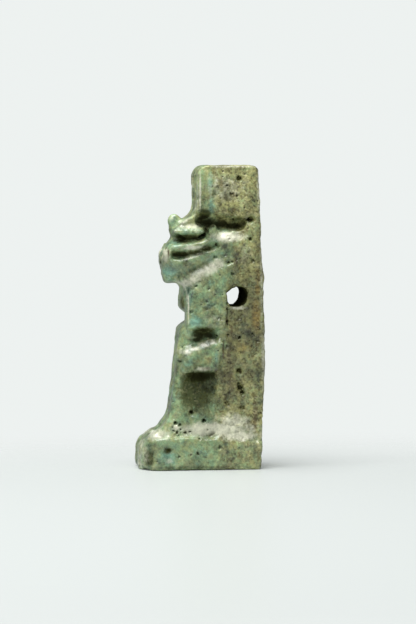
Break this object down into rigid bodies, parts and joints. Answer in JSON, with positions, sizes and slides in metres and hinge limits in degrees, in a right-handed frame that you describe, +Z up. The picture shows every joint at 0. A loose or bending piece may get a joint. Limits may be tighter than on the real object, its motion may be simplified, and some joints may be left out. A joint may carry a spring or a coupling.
{
  "type": "goddess amulet",
  "caption": "Small glazed figure of a standing goddess against a back pillar pierced for a cord, with a block-shaped headdress, on a low plinth.",
  "frame": {"origin": "bottom centre of the bounding box, on the surface that the plinth stands on", "axes": "+Z up, the figure faces -Y, its left side is +X"},
  "size_m": [0.0066, 0.0124, 0.03],
  "materials": {
    "glaze": "worn glossy blue-green glaze",
    "worn_glaze": "worn matt olive glaze with grain and pits"
  },
  "bodies": {
    "root": {"plinth": "glaze", "back_pillar": "worn_glaze", "headdress": "worn_glaze", "uraeus": "glaze", "wig": "glaze", "face": "glaze", "left_ear": "glaze", "right_ear": "glaze", "torso": "glaze", "skirt": "glaze", "left_arm": "glaze", "right_arm": "glaze", "left_hand": "glaze", "right_hand": "glaze", "left_foot": "glaze", "right_foot": "glaze"}
  },
  "joints": []
}
